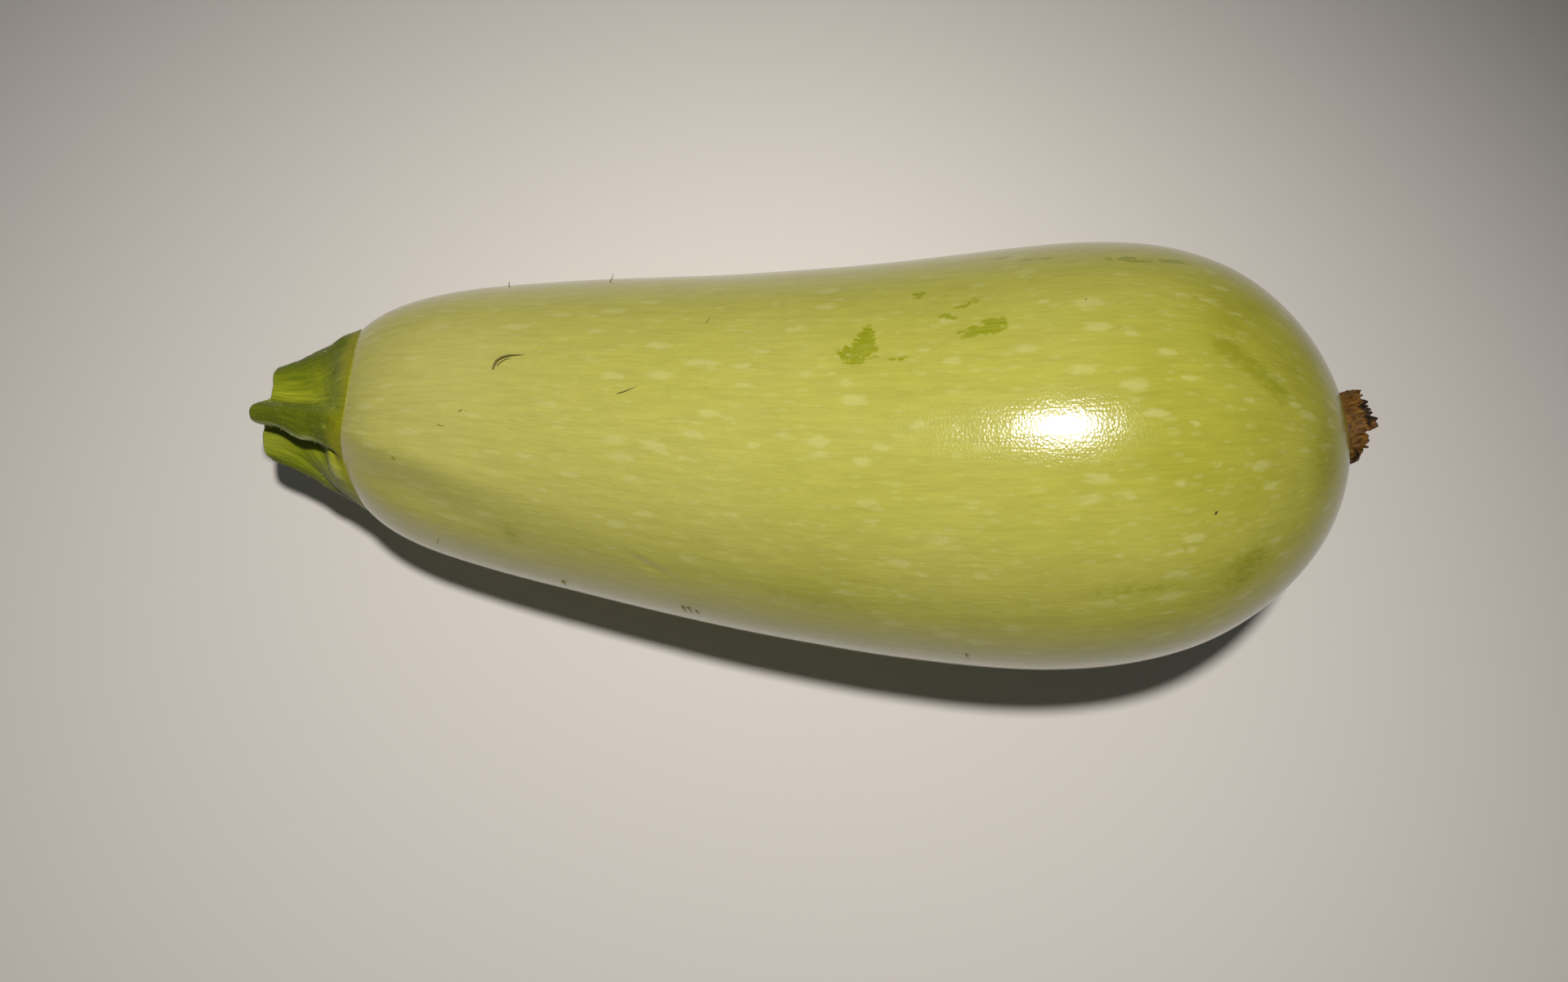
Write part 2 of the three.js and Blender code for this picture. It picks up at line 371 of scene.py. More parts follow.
fruit_sizes = {
    "Length": ("Float", length),
    "Flatness": ("Float", flatness),
    "Droop": ("Float", droop),
    "Pressed flat": ("Float", 0.45 * mm),
    "Rib at stem": ("Float", 1.1 * mm),
    "Rib on body": ("Float", 0.18 * mm),
    "Rib turn": ("Float", math.radians(-50)),
    "Swell": ("Float", 0.35 * mm),
    "Rings": ("Int", rings),
    "Staves": ("Int", staves),
    "Skin": ("Material", skin),
}
fruit_sizes |= {f"Fullness {i}": ("Float", value) for i, value in enumerate(fullness)}
fruit_sizes |= {f"Bow {i}": ("Float", value) for i, value in enumerate(bow)}
fruit_sizes |= {f"Rib {i}": ("Float", value) for i, value in enumerate(rib_angles)}


def fruit_tree():
    tree, size, result = new_tree("fruit body", fruit_sizes)
    grid = put(tree, "GeometryNodeMeshGrid", {
        "Size X": 1.0, "Size Y": 1.0,
        "Vertices X": calc(tree, "ADD", size["Rings"], 1),
        "Vertices Y": calc(tree, "ADD", size["Staves"], 1),
    })
    position = put(tree, "GeometryNodeInputPosition").outputs[0]
    place = put(tree, "ShaderNodeSeparateXYZ", {0: position})
    # Rings lie closer together at the two poles.
    half_turn = calc(tree, "MULTIPLY", calc(tree, "ADD", place.outputs[0], 0.5), math.pi)
    sweep = calc(tree, "COSINE", half_turn)
    share = calc(tree, "MULTIPLY", calc(tree, "SUBTRACT", 1.0, sweep), 0.5)
    angle = calc(tree, "MULTIPLY", place.outputs[1], math.tau)

    rest = calc(tree, "SUBTRACT", 1.0, share)
    rounding = calc(tree, "SQRT", calc(tree, "MAXIMUM", calc(tree, "MULTIPLY", share, rest), 0.0))
    full = bezier_nodes(tree, [size[f"Fullness {i}"] for i in range(len(fullness))], share)
    radius = calc(tree, "MULTIPLY", rounding, full, size["Length"])

    # Ribs stand out where they leave the stem's ridges, turn a little and fade along the body.
    on_rib = calc(tree, "SUBTRACT", angle, calc(tree, "MULTIPLY", share, size["Rib turn"]))
    facing = [
        calc(tree, "COSINE", calc(tree, "SUBTRACT", on_rib, size[f"Rib {i}"]))
        for i in range(len(rib_angles))
    ]
    crest = calc(tree, "POWER", calc(tree, "MAXIMUM", *facing), rib_sharpness)
    fade = calc(tree, "EXPONENT", calc(tree, "MULTIPLY", share, -1 / rib_fade))
    faded = calc(tree, "MULTIPLY", fade, size["Rib at stem"])
    rib_height = calc(tree, "ADD", faded, size["Rib on body"])
    off_pole = calc(tree, "MINIMUM", calc(tree, "MULTIPLY", radius, 1 / rib_start), 1.0)
    rib = calc(tree, "MULTIPLY", calc(tree, "SUBTRACT", crest, 0.4), rib_height, off_pole)
    swollen = calc(tree, "ADD", radius, rib)

    bows = [size[f"Bow {i}"] for i in range(len(bow))]
    bent = calc(tree, "MULTIPLY", bezier_nodes(tree, bows, share), size["Length"])
    aside, above = calc(tree, "SINE", angle), calc(tree, "COSINE", angle)
    on_axis = put(tree, "ShaderNodeCombineXYZ", {
        0: calc(tree, "MULTIPLY", share, size["Length"]),
        1: calc(tree, "ADD", calc(tree, "MULTIPLY", aside, swollen), bent),
        2: calc(tree, "MULTIPLY", above, swollen, size["Flatness"]),
    })
    drooped = put(tree, "ShaderNodeVectorRotate", {
        "Vector": on_axis.outputs[0],
        "Angle": calc(tree, "MULTIPLY", size["Droop"], -1.0),
    }, rotation_type="Y_AXIS")
    heading = put(tree, "ShaderNodeCombineXYZ", {0: share, 1: aside, 2: above})
    marked = put(tree, "GeometryNodeStoreNamedAttribute", {
        "Geometry": grid.outputs["Mesh"], "Name": "heading", "Value": heading.outputs[0],
    }, data_type="FLOAT_VECTOR", domain="POINT")
    turned = put(tree, "GeometryNodeSetPosition", {
        "Geometry": marked.outputs[0], "Position": drooped.outputs[0],
    })
    closed = put(tree, "GeometryNodeMergeByDistance", {0: turned.outputs[0], "Distance": 1e-6})

    # It didn't grow quite round: the skin rises and falls slowly over a few centimetres.
    slow = put(tree, "ShaderNodeTexNoise", {"Scale": 1 / (26 * mm), "Detail": 1.0})
    rise = calc(tree, "MULTIPLY", calc(tree, "SUBTRACT", slow.outputs[0], 0.5), size["Swell"])
    outwards = put(tree, "ShaderNodeVectorMath", {
        0: put(tree, "GeometryNodeInputNormal").outputs[0], "Scale": rise,
    }, operation="SCALE")
    uneven = put(tree, "GeometryNodeSetPosition", {
        "Geometry": closed.outputs[0], "Offset": outwards.outputs[0],
    })

    lowest = put(tree, "ShaderNodeSeparateXYZ", {
        0: put(tree, "GeometryNodeBoundBox", {0: uneven.outputs[0]}).outputs["Min"],
    })
    now = put(tree, "ShaderNodeSeparateXYZ", {0: position})
    height = calc(tree, "SUBTRACT", now.outputs[2], lowest.outputs[2], size["Pressed flat"])
    lying = put(tree, "ShaderNodeCombineXYZ", {
        0: now.outputs[0], 1: now.outputs[1], 2: calc(tree, "MAXIMUM", height, 0.0),
    })
    laid = put(tree, "GeometryNodeSetPosition", {
        "Geometry": uneven.outputs[0], "Position": lying.outputs[0],
    })
    smooth = put(tree, "GeometryNodeSetShadeSmooth", {0: laid.outputs[0]})
    skinned = put(tree, "GeometryNodeSetMaterial", {0: smooth.outputs[0], "Material": size["Skin"]})
    tree.links.new(skinned.outputs[0], result[0])
    return tree


def bezier(weights, share):
    """The Bezier curve of these weights, at a share of its length."""
    row = list(weights)
    while len(row) > 1:
        row = [first + (second - first) * share for first, second in zip(row, row[1:])]
    return row[0]


def fruit_radius(share):
    """The fruit's radius, in metres, at a share of its length."""
    return np.sqrt(np.clip(share * (1 - share), 0, None)) * bezier(fullness, share) * length


def read(piece, name, width):
    """A value of each of the piece's points, as an array."""
    values = np.zeros(len(piece.data.vertices) * width, np.float32)
    source = {"place": ("vertices", "co"), "normal": ("vertex_normals", "vector")}.get(name)
    if source:
        getattr(piece.data, source[0]).foreach_get(source[1], values)
    else:
        piece.data.attributes[name].data.foreach_get("vector" if width == 3 else "value", values)
    return values.reshape(-1, width) if width > 1 else values


def write(piece, name, values):
    """Puts a value on each of the piece's points, for its material to read."""
    kind, key = ("FLOAT_VECTOR", "vector") if values.ndim == 2 else ("FLOAT", "value")
    field = piece.data.attributes.new(name, kind, "POINT")
    field.data.foreach_set(key, values.astype(np.float32).ravel())


fruit = grow("fruit_skin", bpy.data.meshes.new("fruit_skin"), fruit_tree(), fruit_sizes)
places, heading = read(fruit, "place", 3), read(fruit, "heading", 3)
share, turn = heading[:, 0], np.arctan2(heading[:, 1], heading[:, 2])

# The grown mesh is moved so that its box meets the frame's.
shift = (np.array(fruit_low) + fruit_high) / 2 - (places.min(0) + places.max(0)) / 2
shift[2] = 0
places += shift

# How far each point is from the stem's pole along the skin, and how far round.
steps = np.linspace(0, 1, 2000)
outline = np.stack([steps * length, fruit_radius(steps)])
from_pole = np.concatenate([[0], np.cumsum(np.hypot(*np.diff(outline)))])
along = np.interp(share, steps, from_pole)
around = 30 * mm
write(fruit, "lengthwise", np.stack([along, around * heading[:, 1], around * heading[:, 2]], 1))
write(fruit, "toward_flower_end", np.clip(0.1 + 0.85 * share, 0, 1))


def nearness(where, degrees, half_length, half_width, slant=0.0):
    """1 at a place on the skin, falling to 0 over an oval this long and wide around it."""
    ahead = along - np.interp(where, steps, from_pole)
    swing = (turn - math.radians(degrees) + math.pi) % math.tau - math.pi
    aside = swing * fruit_radius(np.full(1, where))[0]
    tilt = math.radians(slant)
    major = ahead * math.cos(tilt) + aside * math.sin(tilt)
    minor = aside * math.cos(tilt) - ahead * math.sin(tilt)
    return np.exp(-((major / half_length) ** 2) - (minor / half_width) ** 2)


def marks(rows):
    """How strongly all of these marks together show, at each point of the skin."""
    return sum(
        strength * nearness(where, degrees, long * mm, wide * mm, slant)
        for where, degrees, long, wide, slant, strength in rows
    )


def mound(values, middle, spread):
    """1 where the values are at the middle, falling smoothly to 0 over the spread."""
    return np.exp(-(((values - middle) / spread) ** 2))


# Stains where the skin was rubbed or bruised: the share of the length, the degrees from the top
# towards +Y, the half length and half width, the slant in degrees, and the strength.
stains = [
    (0.543, 27.6, 3.4, 2.2, 0, 1.15),
    (0.553, 33.0, 1.5, 2.8, 0, 1.15),
    (0.583, 25.4, 2.6, 0.8, 8, 0.85),
    (0.646, 32.0, 4.0, 1.2, 12, 1.0),
    (0.663, 33.6, 2.4, 1.8, 25, 1.0),
    (0.641, 42.0, 2.8, 1.0, 18, 0.85),
    (0.625, 37.5, 2.2, 0.8, -14, 0.8),
    (0.598, 47.5, 1.9, 1.2, 25, 0.8),
    (0.672, 64.5, 3.0, 0.6, 0, 0.9),
    (0.705, 60.5, 4.0, 0.8, -12, 1.0),
    (0.699, 49.0, 1.5, 0.4, -30, 0.9),
    (0.785, 58.0, 4.5, 1.2, 0, 1.0),
    (0.828, 59.5, 4.0, 1.1, 8, 0.9),
    (0.415, 17.0, 2.2, 0.9, 10, 0.5),
    (0.335, 20.5, 1.4, 2.0, 30, 0.42),
    (0.108, -17.0, 0.8, 0.7, 0, 0.8),
    (0.837, 42.0, 1.6, 0.5, -25, 0.7),
    (0.822, 47.0, 1.2, 0.4, -20, 0.7),
    (0.340, 150.0, 6.0, 2.5, 8, 0.6),
    (0.620, -128.0, 4.5, 2.2, -12, 0.8),
    (0.760, 168.0, 7.0, 3.0, 5, 0.6),
    (0.520, 112.0, 3.0, 1.4, 0, 0.7),
]
write(fruit, "stain", marks(stains))

# Softer, browner bruises, listed the same way.
bruises = [
    (0.857, 26.0, 3.0, 2.2, -30, 0.9),
    (0.880, 21.5, 4.2, 2.0, -35, 1.0),
    (0.903, 16.0, 2.6, 2.2, -60, 0.95),
    (0.880, -37.0, 5.5, 4.5, 35, 0.9),
    (0.779, -36.0, 11.0, 2.4, 0, 0.6),
    (0.955, -8.0, 6.0, 10.0, 0, 0.6),
    (0.216, -41.5, 2.4, 3.2, 0, 0.6),
    (0.500, -44.0, 14.0, 3.0, -6, 0.4),
    (0.700, 150.0, 9.0, 5.0, 0, 0.7),
    (0.300, -150.0, 7.0, 4.0, 20, 0.6),
]
# The skin is also browner round the scar of the flower.
scar = places[share.argmax()] + [0, 4.5 * mm, 0]
scar_ring = 0.9 * mound(np.linalg.norm(places - scar, axis=1), 6 * mm, 3.5 * mm)
write(fruit, "bruise", marks(bruises) + scar_ring)

# Dents where it was knocked, listed the same way, with the depth in millimetres instead.
dents = [
    (0.450, -21.5, 0.9, 0.5, 0, 0.35),
    (0.441, -22.5, 1.8, 0.7, 0, -0.12),
    (0.352, -42.5, 3.4, 0.7, -28, 0.28),
    (0.350, -39.0, 2.6, 0.8, -28, -0.15),
    (0.478, -30.0, 0.9, 0.9, 0, 0.18),
    (0.110, -31.0, 18.0, 4.2, -9, 0.85),
    (0.120, -14.5, 18.0, 2.6, -9, -0.5),
    (0.640, 140.0, 2.2, 1.4, 20, 0.25),
    (0.270, -120.0, 1.6, 0.9, -30, 0.25),
]
sunk = mm * marks(dents)
places -= read(fruit, "normal", 3) * sunk[:, None]
fruit.data.vertices.foreach_set("co", places.ravel())
fruit.data.update()
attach(fruit, "root")
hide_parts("fruit")

# ---- The stem ----
# The stub of the fruit's stalk: tough, green and fibrous, with five rounded ridges. It grew on
# the fruit, and flares onto its shoulder. The other end is where the knife went through.

stem_radius = 9.2 * mm  # over the ridges, at the cut
stem_twist = math.radians(-15)  # how far the ridges turn, from the cut to the shoulder
stem_lean = 1.0 * mm  # the cut lies this far towards +Y of the fruit's pole
stem_rows, stem_staves, cut_rows = 120, 400, 18
foot_rows = 2  # tucked under the skin
hollow = 10.4 * mm  # how far beyond the pole the middle of the cut lies

stem_green = (0.20, 0.26, 0.003)
stem_ridge_and_shade_green = (0.105, 0.145, 0.003)
stem_light_green = (0.40, 0.43, 0.02)
stem_yellow = (0.33, 0.32, 0.006)
stem_spot_colour = (0.42, 0.47, 0.07)
stem_lip_highlight_colour = (0.44, 0.47, 0.20)
knuckle_colour = (0.38, 0.38, 0.13)
cut_colour = (0.46, 0.43, 0.24)
seam_colour = (0.15, 0.13, 0.02)

# The relief of the stem: strands, the fibres in them, and the pores.
strand_depth = 0.05 * mm
fibre_depth = 0.035 * mm
pore_size, pore_depth = 0.55 * mm, 0.018 * mm


def around_stem(knots, soften=3):
    """Values given at degrees round the stem's cut, eased into one for each stave."""
    degrees = np.arange(stem_staves) * 360 / stem_staves
    turns, given = zip(*sorted((turn % 360, value) for turn, value in knots))
    values = np.interp(degrees, turns, given, period=360)
    for _ in range(soften):
        values = (np.roll(values, 3) + np.roll(values, -3) + 2 * values) / 4
    return values


# The section at the cut, as a share of the radius: crests, the broad face between the first two
# ridges, the deep furrow after the second, and the shallower ones underneath.
cut_section = around_stem([
    (84, 0.97), (74, 1.0), (62, 0.97), (45, 0.87), (28, 0.83), (18, 0.84), (12, 0.99), (5, 1.05),
    (-4, 1.06), (-10, 1.0), (-15, 0.76), (-23, 0.55), (-36, 0.53), (-49, 0.72), (-60, 0.93),
    (-72, 1.0), (-83, 0.96), (-108, 0.72), (-134, 0.92), (-152, 0.92), (-178, 0.74),
    (-205, 0.94), (-223, 0.94), (-250, 0.76),
], 2)
# How far the cut lies beyond the fruit's pole, in millimetres: the knife left the top ridge longer.
cut_reach = mm * around_stem([
    (76, 12.2), (58, 11.8), (40, 11.2), (19, 11.1), (13, 12.2), (9, 13.9), (2, 14.3), (-6, 14.2),
    (-10, 13.8), (-15, 13.4), (-20, 13.6), (-45, 14.2), (-58, 13.9), (-72, 12.9), (-90, 12.2),
    (-110, 11.2), (-143, 10.8), (-180, 10.6), (-214, 10.8), (-250, 10.9),
], 1)
# How far past the pole the stem spreads on the shoulder: furthest where a face meets the fruit.
foot_reach = mm * around_stem([
    (84, 6.6), (64, 8.4), (40, 9.4), (20, 9.2), (4, 8.0), (-8, 7.0), (-20, 6.8), (-34, 7.8),
    (-50, 7.6), (-66, 7.0), (-80, 6.2), (-108, 6.8), (-143, 5.4), (-178, 6.8), (-214, 5.4),
    (-250, 6.4),
], 5)
crest = np.clip((cut_section - 0.84) / 0.14, 0, 1)
staves_turn = np.arange(stem_staves) * math.tau / stem_staves
staves_degrees = (np.degrees(staves_turn) + 180) % 360 - 180
pole = places[share.argmin()] - np.array([0, bow[0] * length, 0])


def lay_down(points):
    """Points beside the fruit's straight axis, tilted and moved to where the fruit lies."""
    x, y, z = points.T
    ahead = x * math.cos(droop) - z * math.sin(droop)
    above = x * math.sin(droop) + z * math.cos(droop)
    return np.stack([ahead, y, above], 1) + pole


skin_shape = BVHTree.FromObject(fruit, bpy.context.evaluated_depsgraph_get())


def skin_beside(reach, swing):
    """Where a line straight out from the fruit's axis leaves the skin: the place and the normal."""
    middle_y = bezier(bow, reach / length) * length
    start, ahead = lay_down(np.array([
        [reach, middle_y, 0], [reach, middle_y + math.sin(swing), math.cos(swing)],
    ]))
    spot, normal, _, distance = skin_shape.ray_cast(Vector(start), Vector(ahead - start))
    return np.array(spot), np.array(normal), distance


def wrinkle(points, size, seed):
    """Slow random values, from -1 to 1, at points that are this size apart in it."""
    return np.array([noise.noise(Vector(point) / size + Vector((seed, 0, 0))) for point in points])


def closed_mesh(name, rows, end):
    """A skin over rings of points, from a covered first ring to a single point at the end."""
    count, width = rows.shape[:2]
    points = np.concatenate([rows.reshape(-1, 3), end[None]])
    faces = [
        (row * width + i, row * width + (i + 1) % width,
         (row + 1) * width + (i + 1) % width, (row + 1) * width + i)
        for row in range(count - 1) for i in range(width)
    ]
    last = (count - 1) * width
    faces += [(last + i, last + (i + 1) % width, len(points) - 1) for i in range(width)]
    faces.append(tuple(reversed(range(width))))
    mesh = bpy.data.meshes.new(name)
    mesh.from_pydata(points.tolist(), [], faces)
    mesh.shade_smooth()
    return stand(name, mesh)


def stem_material():
    """Green stalk: dark ridges, paler streaked faces, a yellow foot, spots and a dry cut, with
    painted shade beyond the deep furrow and a painted highlight on the top ridge's lower edge.
    """
    material, tree, shader = new_material(
        "stem", stem_green, Roughness=0.5, IOR=1.4, Subsurface_Weight=0.05,
        Subsurface_Radius=(1.5, 2.0, 0.4), Subsurface_Scale=mm,
    )
    place = own(tree, "lengthwise", "Vector")
    run, deep, cut = own(tree, "run"), own(tree, "ridge_green_and_painted_shade"), own(tree, "cut")
    fine = group(tree, grain, place=place, across=0.4 * mm, stretch=14.0)
    broad = group(tree, grain, place=place, across=1.3 * mm, stretch=6.0)
    spots = group(tree, flecks, place=place, across=3.2 * mm, stretch=2.4, share=0.65, size=0.24,
                  raggedness=0.6, softness=0.6)
    slow = cloud(tree, place, 260.0, 3.0)
    wander = calc(tree, "SUBTRACT", slow, 0.5)
    streaks = calc(tree, "ADD", scaled(tree, broad, 0.6), scaled(tree, fine, 0.4))
    colour = between(tree, streaks, stem_green, stem_light_green)
    # Deeper green on the ridges, and painted shade on the face beyond the deep furrow.
    colour = between(tree, scaled(tree, deep, 0.85), colour, stem_ridge_and_shade_green)
    from_foot = calc(tree, "SUBTRACT", run, scaled(tree, wander, 0.5))
    colour = between(tree, ramp(tree, from_foot, 0.02, 0.2, 0.8, 0.0), colour, stem_yellow)
    shown = calc(tree, "MULTIPLY", spots, ramp(tree, run, 0.1, 0.85, 0.75, 0.3))
    colour = between(tree, shown, colour, stem_spot_colour)
    colour = between(tree, own(tree, "knuckle"), colour, knuckle_colour)
    # A pale painted highlight along the lower edge of the top ridge and round the rim of the cut.
    colour = between(tree, own(tree, "painted_lip_highlight"), colour, stem_lip_highlight_colour)
    from_seam = calc(tree, "SUBTRACT", run, scaled(tree, wander, 0.06))
    colour = between(tree, ramp(tree, from_seam, -0.01, 0.016, 0.55, 0.0), colour, seam_colour)
    green = brightened(tree, colour, scaled(tree, fine, 0.2, 0.87))
    dry = brightened(tree, cut_colour, scaled(tree, slow, 0.9, 0.5))
    colour = between(tree, ramp(tree, cut, 0.2, 0.6), green, dry)
    tree.links.new(colour, shader.inputs["Base Color"])
    pores = put(tree, "ShaderNodeTexVoronoi", {"Vector": place, "Scale": 1 / pore_size})
    surface = bumped(tree, broad, strand_depth)
    surface = bumped(tree, fine, fibre_depth, surface)
    surface = bumped(tree, pores.outputs["Distance"], pore_depth, surface)
    tree.links.new(surface, shader.inputs["Normal"])
    return material


# Each stave runs from a foot sunk under the skin, over the edge where it meets the skin, to the
# rim of the cut, and the rows of the cut close in on its middle.
run = np.concatenate([[-0.10, -0.03], np.linspace(0.0, 1, stem_rows)])
rest = np.clip(1 - run[:, None], 0, 1)
# The deep furrow fills up where it nears the foot.
fill_from = around_stem([
    (0, 0.3), (-16, 0.32), (-29, 0.38), (-38, 0.7), (-60, 0.95), (-80, 0.95), (-95, 0.3),
])
filling = np.clip((fill_from - run[:, None]) / (fill_from - 0.1), 0, 1)
filling = filling**2 * (3 - 2 * filling) * np.clip(1.7 * mound(staves_degrees, -38, 21), 0, 1)
away = rest ** (1.15 + 1.3 * (1 - crest) * (1 - filling))
side_section = cut_section + filling * np.clip(0.95 - cut_section, 0, 1)
side_x = foot_reach - (foot_reach + cut_reach) * (1 - rest)
side_turn = staves_turn + stem_twist * rest
stem_over_skin = 0.12 * mm
skin_here = np.array([
    [skin_beside(max(x, 0.2 * mm), swing)[2] + stem_over_skin if x > 0 else 0.0
     for x, swing in zip(*pair)]
    for pair in zip(side_x, side_turn)
])
side_radius = stem_radius * side_section * (1 - away) + skin_here[foot_rows] * away
# The furrow under the top ridge closes in a pale knuckle, with a pit beside it.
knuckle = mound(run[:, None], 0.17, 0.1) * mound(staves_degrees, -27, 6)
pit = mound(run[:, None], 0.13, 0.05) * mound(staves_degrees, -14, 4)
knuckle_height, pit_depth = 0.9 * mm, 2.2 * mm
side_radius += knuckle_height * knuckle - pit_depth * pit
# It stays over the skin, and eases away from it.
ease = 1.8 * mm * np.clip(run[:, None] * 5, 0, 1)
side_radius = (side_radius + skin_here + np.hypot(side_radius - skin_here, ease)) / 2
# Only the first rows go down into it, so that no gap shows under the foot.
side_x[:foot_rows] += np.array([[0.9], [0.3]]) * mm
side_radius[:foot_rows] -= np.array([[1.9], [0.6]]) * mm
# The rim is worn round, most of all on the long top ridge.
from_rim = rest * (foot_reach + cut_reach)
worn = mm * around_stem([(30, 0.3), (14, 0.5), (5, 0.9), (-8, 0.9), (-20, 0.4), (180, 0.3)])
rounding = np.clip(1 - from_rim / worn, 0, 1)
side_radius -= worn * (1 - np.sqrt(1 - rounding**2)) * 0.8

inward = np.linspace(1, 0, cut_rows + 1)[1:-1]
radius_rows = np.concatenate([side_radius, side_radius[-1] * inward[:, None]])
x_rows = np.concatenate([side_x, -(hollow + (cut_reach - hollow) * inward[:, None] ** 2.5)])
run_rows = np.concatenate([np.clip(run, 0, 1), np.ones(len(inward))])
turn_rows = np.concatenate([side_turn, np.tile(staves_turn, (len(inward), 1))])
stubs = np.stack([x_rows, radius_rows * np.sin(turn_rows), radius_rows * np.cos(turn_rows)], 2)

# The top ridge leans over the deep furrow beside it, and every ridge wavers on its way.
lean = mound(staves_degrees, -9, 8) * np.sin(run_rows[:, None] * math.pi * 0.9)
stubs[..., 1] -= (0.45 + 0.4 * np.sin(run_rows[:, None] * 13 + 1.6)) * mm * lean
flat = stubs.reshape(-1, 3)
waver = wrinkle(flat * [0.6, 1, 1], 4.5 * mm, 3)
ripple = wrinkle(flat * [0.12, 1, 1], 0.8 * mm, 9)
rough = wrinkle(flat, 1.2 * mm, 5)
on_cut = np.repeat(np.concatenate([np.zeros(len(run)), np.ones(len(inward))]), stem_staves)
run_field = np.repeat(run_rows, stem_staves)
shown = np.clip(run_field * 6, 0, 1) * (1 - on_cut)
ripple *= np.clip(2.2 * run_field - 0.25, 0, 1)
flat[:, 1:] *= (1 + shown * (0.035 * waver + 0.014 * ripple))[:, None]
flat[:, 0] -= mm * on_cut * (0.45 * rough + 0.25 * waver)
flat[:, 1] += bow[0] * length + stem_lean * run_field

stem = closed_mesh("stem_stub", lay_down(flat).reshape(stubs.shape),
                   lay_down(np.array([[-hollow, bow[0] * length + stem_lean, 0.0]]))[0])
stem.data.materials.append(stem_material())
# A pale painted highlight along the lower edge of the top ridge, and round the rim of the cut.
painted_lip_highlight = mound(staves_degrees, -8.0, 2.0) * np.clip(run_rows * 4 - 0.6, 0, 1)[:, None]
painted_lip_highlight = np.maximum(painted_lip_highlight, 0.6 * mound(run_rows[:, None], 1, 0.012))
write(stem, "run", np.append(run_field, 1))
write(stem, "crest", np.append(np.tile(crest, len(run_rows)), 0))
# The ridges are a deeper green. The face beyond the deep furrow is darkened in part too, as painted
# shade from the top ridge over it.
ridge_green_and_painted_shade = np.maximum(crest, 0.45 * mound(staves_degrees, -52, 20))
write(stem, "ridge_green_and_painted_shade", np.append(np.tile(ridge_green_and_painted_shade, len(run_rows)), 0))
write(stem, "cut", np.append(on_cut, 1))
write(stem, "painted_lip_highlight", np.append(painted_lip_highlight.ravel() * (1 - on_cut) * 0.8, 0))
knuckle_rows = np.concatenate([knuckle, np.zeros((len(inward), stem_staves))])
write(stem, "knuckle", np.append(np.clip(knuckle_rows.ravel(), 0, 0.85), 0))
# Fibres run along the stem, as on a straight rod of one thickness, with the cut at its end.
rod_length, rod_radius, rod_cap = 20 * mm, 11 * mm, 3 * mm
fibre_turn = np.tile(staves_turn, len(run_rows))
fibre_radius = rod_radius * np.repeat(np.concatenate([np.ones(len(run)), inward]), stem_staves)
fibres = np.stack([
    run_field * rod_length + rod_cap * on_cut,
    fibre_radius * np.sin(fibre_turn), fibre_radius * np.cos(fibre_turn),
], 1)
write(stem, "lengthwise", np.append(fibres, [[rod_length + rod_cap, 0, 0]], 0))
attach(stem, "root")
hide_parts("stem")

# ---- The stem's hairs ----
# Short stiff whitish hairs that the plant grows on its stalk, thickest on the ridges. They are
# part of the stem, and stand nearly straight out of it.

stem_hair_sizes = {
    "Hairs to a square metre": ("Float", 480e3),
    "Shortest": ("Float", 0.12 * mm),
    "Longest": ("Float", 0.5 * mm),
    "Thickness": ("Float", 0.06 * mm),
    "Seed": ("Int", 4),
    "Hair": ("Material", None),
}


def hair_material(name, colour):
    """A dry plant hair that lets some light through, darker in places."""
    material, tree, shader = new_material(
        name, colour, Roughness=0.4, Subsurface_Weight=0.3, Subsurface_Radius=(1.0, 1.0, 0.6),
        Subsurface_Scale=0.3 * mm,
    )
    place = put(tree, "ShaderNodeTexCoord").outputs["Object"]
    uneven = calc(tree, "ADD", cloud(tree, place, 1 / (1.2 * mm)), 0.5)
    tree.links.new(brightened(tree, colour, uneven), shader.inputs["Base Color"])
    return material


stem_hair_sizes["Hair"] = ("Material", hair_material("stem hair", (0.34, 0.39, 0.11)))


